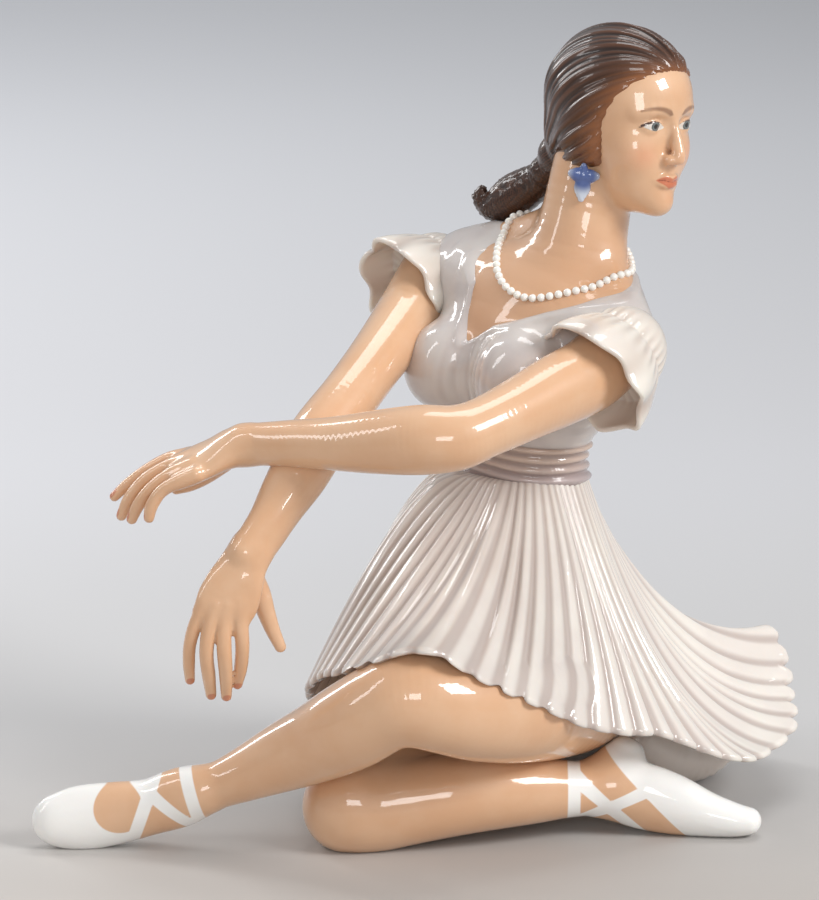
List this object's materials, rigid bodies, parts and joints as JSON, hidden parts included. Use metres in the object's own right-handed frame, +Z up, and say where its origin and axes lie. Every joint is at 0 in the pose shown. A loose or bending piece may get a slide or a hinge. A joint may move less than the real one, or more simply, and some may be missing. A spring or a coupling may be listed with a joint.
{
  "type": "ballerina figurine",
  "caption": "Glazed porcelain figurine of a seated ballerina, arms crossed before it, one leg folded under and a pleated skirt spread behind.",
  "frame": {"origin": "on the surface the figurine stands on, under the middle of its bounding box", "axes": "+Z up, +X towards the spread skirt and the pointed toe of the folded leg, -Y towards the raised knee and the viewer"},
  "size_m": [0.2316, 0.1478, 0.2394],
  "materials": {
    "glazed_porcelain": "gloss glaze over painted porcelain"
  },
  "bodies": {
    "root": {"ballerina_figurine": "glazed_porcelain"}
  },
  "joints": []
}
